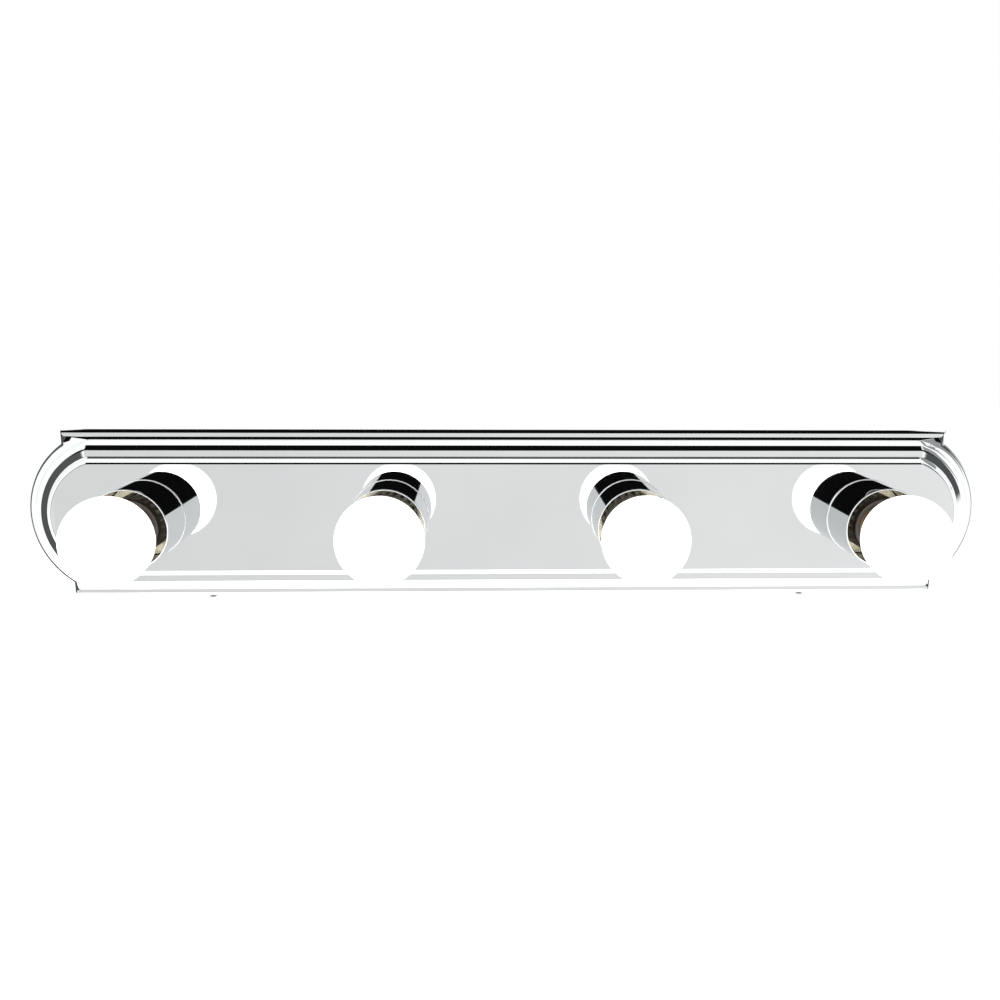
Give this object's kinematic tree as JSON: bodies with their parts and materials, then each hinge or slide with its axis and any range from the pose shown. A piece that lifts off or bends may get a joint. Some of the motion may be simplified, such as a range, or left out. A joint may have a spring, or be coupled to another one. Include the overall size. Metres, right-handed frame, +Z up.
{
  "type": "vanity light bar",
  "caption": "Chrome vanity light bar: a racetrack cover with stepped edges carries a row of straight socket cups and screw-in globe bulbs.",
  "frame": {"origin": "centre of the pan's flat back face, on the wall", "axes": "+X along the bar to the viewer's right, +Z up, +Y into the wall, so the lights face -Y"},
  "size_m": [0.6012, 0.1073, 0.1091],
  "materials": {
    "polished_chrome": "polished chrome plate",
    "galvanised_steel": "galvanised sheet",
    "zinc_plate": "zinc plated",
    "brass": "bright brass",
    "brown_phenolic": "moulded phenolic",
    "opal_glass": "opal, glowing",
    "cap_aluminium": "rolled thread",
    "black_glass": "fused glass insulator",
    "solder": "solder dome",
    "black_rubber": "moulded",
    "black_lead": "extruded insulation",
    "white_lead": "extruded insulation",
    "green_lead": "extruded insulation",
    "red_nut": "moulded",
    "green_nut": "moulded",
    "green_screw": "green dyed zinc plate"
  },
  "bodies": {
    "fixture": {"back_pan": "galvanised_steel", "wire_bush": "black_rubber", "face_cover": "polished_chrome", "cover_screw_left": "zinc_plate", "cover_screw_right": "zinc_plate", "socket_cup_1": "polished_chrome", "lampholder_body_1": "brown_phenolic", "screw_shell_1": "brass", "centre_contact_1": "brass", "socket_nipple_1": "zinc_plate", "lock_nut_1": "zinc_plate", "hot_lead_1": "black_lead", "neutral_lead_1": "white_lead", "socket_cup_2": "polished_chrome", "lampholder_body_2": "brown_phenolic", "screw_shell_2": "brass", "centre_contact_2": "brass", "socket_nipple_2": "zinc_plate", "lock_nut_2": "zinc_plate", "hot_lead_2": "black_lead", "neutral_lead_2": "white_lead", "socket_cup_3": "polished_chrome", "lampholder_body_3": "brown_phenolic", "screw_shell_3": "brass", "centre_contact_3": "brass", "socket_nipple_3": "zinc_plate", "lock_nut_3": "zinc_plate", "hot_lead_3": "black_lead", "neutral_lead_3": "white_lead", "socket_cup_4": "polished_chrome", "lampholder_body_4": "brown_phenolic", "screw_shell_4": "brass", "centre_contact_4": "brass", "socket_nipple_4": "zinc_plate", "lock_nut_4": "zinc_plate", "hot_lead_4": "black_lead", "neutral_lead_4": "white_lead", "wire_nut_hot": "red_nut", "wire_nut_neutral": "red_nut", "wire_nut_ground": "green_nut", "ground_screw": "green_screw", "ground_lead": "green_lead"},
    "bulb_1_carrier": {"bulb_tip_1": "solder"},
    "bulb_1": {"bulb_globe_1": "opal_glass", "bulb_cap_1": "cap_aluminium", "bulb_insulator_1": "black_glass"},
    "bulb_2_carrier": {"bulb_tip_2": "solder"},
    "bulb_2": {"bulb_globe_2": "opal_glass", "bulb_cap_2": "cap_aluminium", "bulb_insulator_2": "black_glass"},
    "bulb_3_carrier": {"bulb_tip_3": "solder"},
    "bulb_3": {"bulb_globe_3": "opal_glass", "bulb_cap_3": "cap_aluminium", "bulb_insulator_3": "black_glass"},
    "bulb_4_carrier": {"bulb_tip_4": "solder"},
    "bulb_4": {"bulb_globe_4": "opal_glass", "bulb_cap_4": "cap_aluminium", "bulb_insulator_4": "black_glass"}
  },
  "joints": [
    {"name": "bulb_1_travel", "type": "slide", "parent": "fixture", "child": "bulb_1_carrier", "axis": [0, -1, 0], "range_m": [0, 0.022]},
    {"name": "bulb_1_turn", "type": "hinge", "parent": "bulb_1_carrier", "child": "bulb_1", "pos_m": [-0.2229, -0.0823, 0], "axis": [0, -1, 0], "range_deg": [0, 2160]},
    {"name": "bulb_2_travel", "type": "slide", "parent": "fixture", "child": "bulb_2_carrier", "axis": [0, -1, 0], "range_m": [0, 0.022]},
    {"name": "bulb_2_turn", "type": "hinge", "parent": "bulb_2_carrier", "child": "bulb_2", "pos_m": [-0.0743, -0.0823, 0], "axis": [0, -1, 0], "range_deg": [0, 2160]},
    {"name": "bulb_3_travel", "type": "slide", "parent": "fixture", "child": "bulb_3_carrier", "axis": [0, -1, 0], "range_m": [0, 0.022]},
    {"name": "bulb_3_turn", "type": "hinge", "parent": "bulb_3_carrier", "child": "bulb_3", "pos_m": [0.0743, -0.0823, 0], "axis": [0, -1, 0], "range_deg": [0, 2160]},
    {"name": "bulb_4_travel", "type": "slide", "parent": "fixture", "child": "bulb_4_carrier", "axis": [0, -1, 0], "range_m": [0, 0.022]},
    {"name": "bulb_4_turn", "type": "hinge", "parent": "bulb_4_carrier", "child": "bulb_4", "pos_m": [0.2229, -0.0823, 0], "axis": [0, -1, 0], "range_deg": [0, 2160]}
  ],
  "couplings": [
    {"joint": "bulb_1_travel", "follows": "bulb_1_turn", "m_per_rad": 0.0005775},
    {"joint": "bulb_2_travel", "follows": "bulb_2_turn", "m_per_rad": 0.0005775},
    {"joint": "bulb_3_travel", "follows": "bulb_3_turn", "m_per_rad": 0.0005775},
    {"joint": "bulb_4_travel", "follows": "bulb_4_turn", "m_per_rad": 0.0005775}
  ]
}
